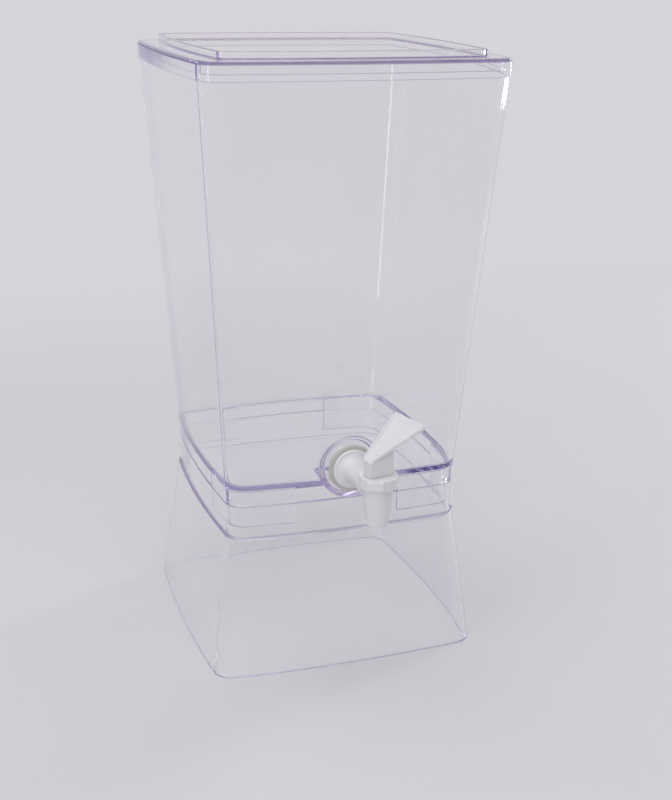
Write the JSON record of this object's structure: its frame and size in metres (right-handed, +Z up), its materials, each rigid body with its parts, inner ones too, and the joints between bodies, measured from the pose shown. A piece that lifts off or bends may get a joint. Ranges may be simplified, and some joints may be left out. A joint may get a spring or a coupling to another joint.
{
  "type": "beverage dispenser",
  "caption": "Clear tapered drinks tank with a lid, on a flared stand, with a self-closing lever tap at the front; the raised lid frame takes the stand of another unit.",
  "frame": {"origin": "middle of the stand's foot, on the surface it stands on", "axes": "+Z up, the tap faces -Y, +X to the right when facing the tap"},
  "size_m": [0.2392, 0.2952, 0.472],
  "materials": {
    "clear_plastic": "clear moulded plastic with violet edges",
    "white_plastic": "semi-gloss moulded",
    "silicone": "translucent grey silicone",
    "spring_steel": "plain stainless wire"
  },
  "bodies": {
    "stand": {"stand": "clear_plastic"},
    "tank": {"tank": "clear_plastic", "outer_gasket": "silicone", "inner_gasket": "silicone", "tap_nut": "white_plastic", "tap_body": "white_plastic", "bonnet": "white_plastic"},
    "lid": {"lid": "clear_plastic"},
    "swivel": {"spring": "spring_steel"},
    "stem": {"valve_stem": "white_plastic", "seat_cup": "silicone"},
    "lever": {"lever": "white_plastic", "lever_pin": "white_plastic"}
  },
  "joints": [
    {"name": "tank_lift", "type": "slide", "parent": "stand", "child": "tank", "axis": [0, 0, 1], "range_m": [0, 0.12]},
    {"name": "lid_lift", "type": "slide", "parent": "tank", "child": "lid", "axis": [0, 0, 1], "range_m": [0, 0.25]},
    {"name": "lever_turn", "type": "hinge", "parent": "tank", "child": "swivel", "pos_m": [0, -0.15996, 0.18], "axis": [0, 0, 1], "continuous": true},
    {"name": "stem_lift", "type": "slide", "parent": "swivel", "child": "stem", "axis": [0, 0, 1], "range_m": [0, 0.0045], "deforming": ["spring"]},
    {"name": "lever_tilt", "type": "hinge", "parent": "stem", "child": "lever", "pos_m": [0, -0.15996, 0.1851], "axis": [-0.225, 0.9744, 0], "range_deg": [0, 25], "stiffness_Nm_per_rad": 0.25, "springref_deg": -11.46}
  ],
  "couplings": [
    {"joint": "stem_lift", "follows": "lever_tilt", "m_per_rad": 0.01}
  ]
}
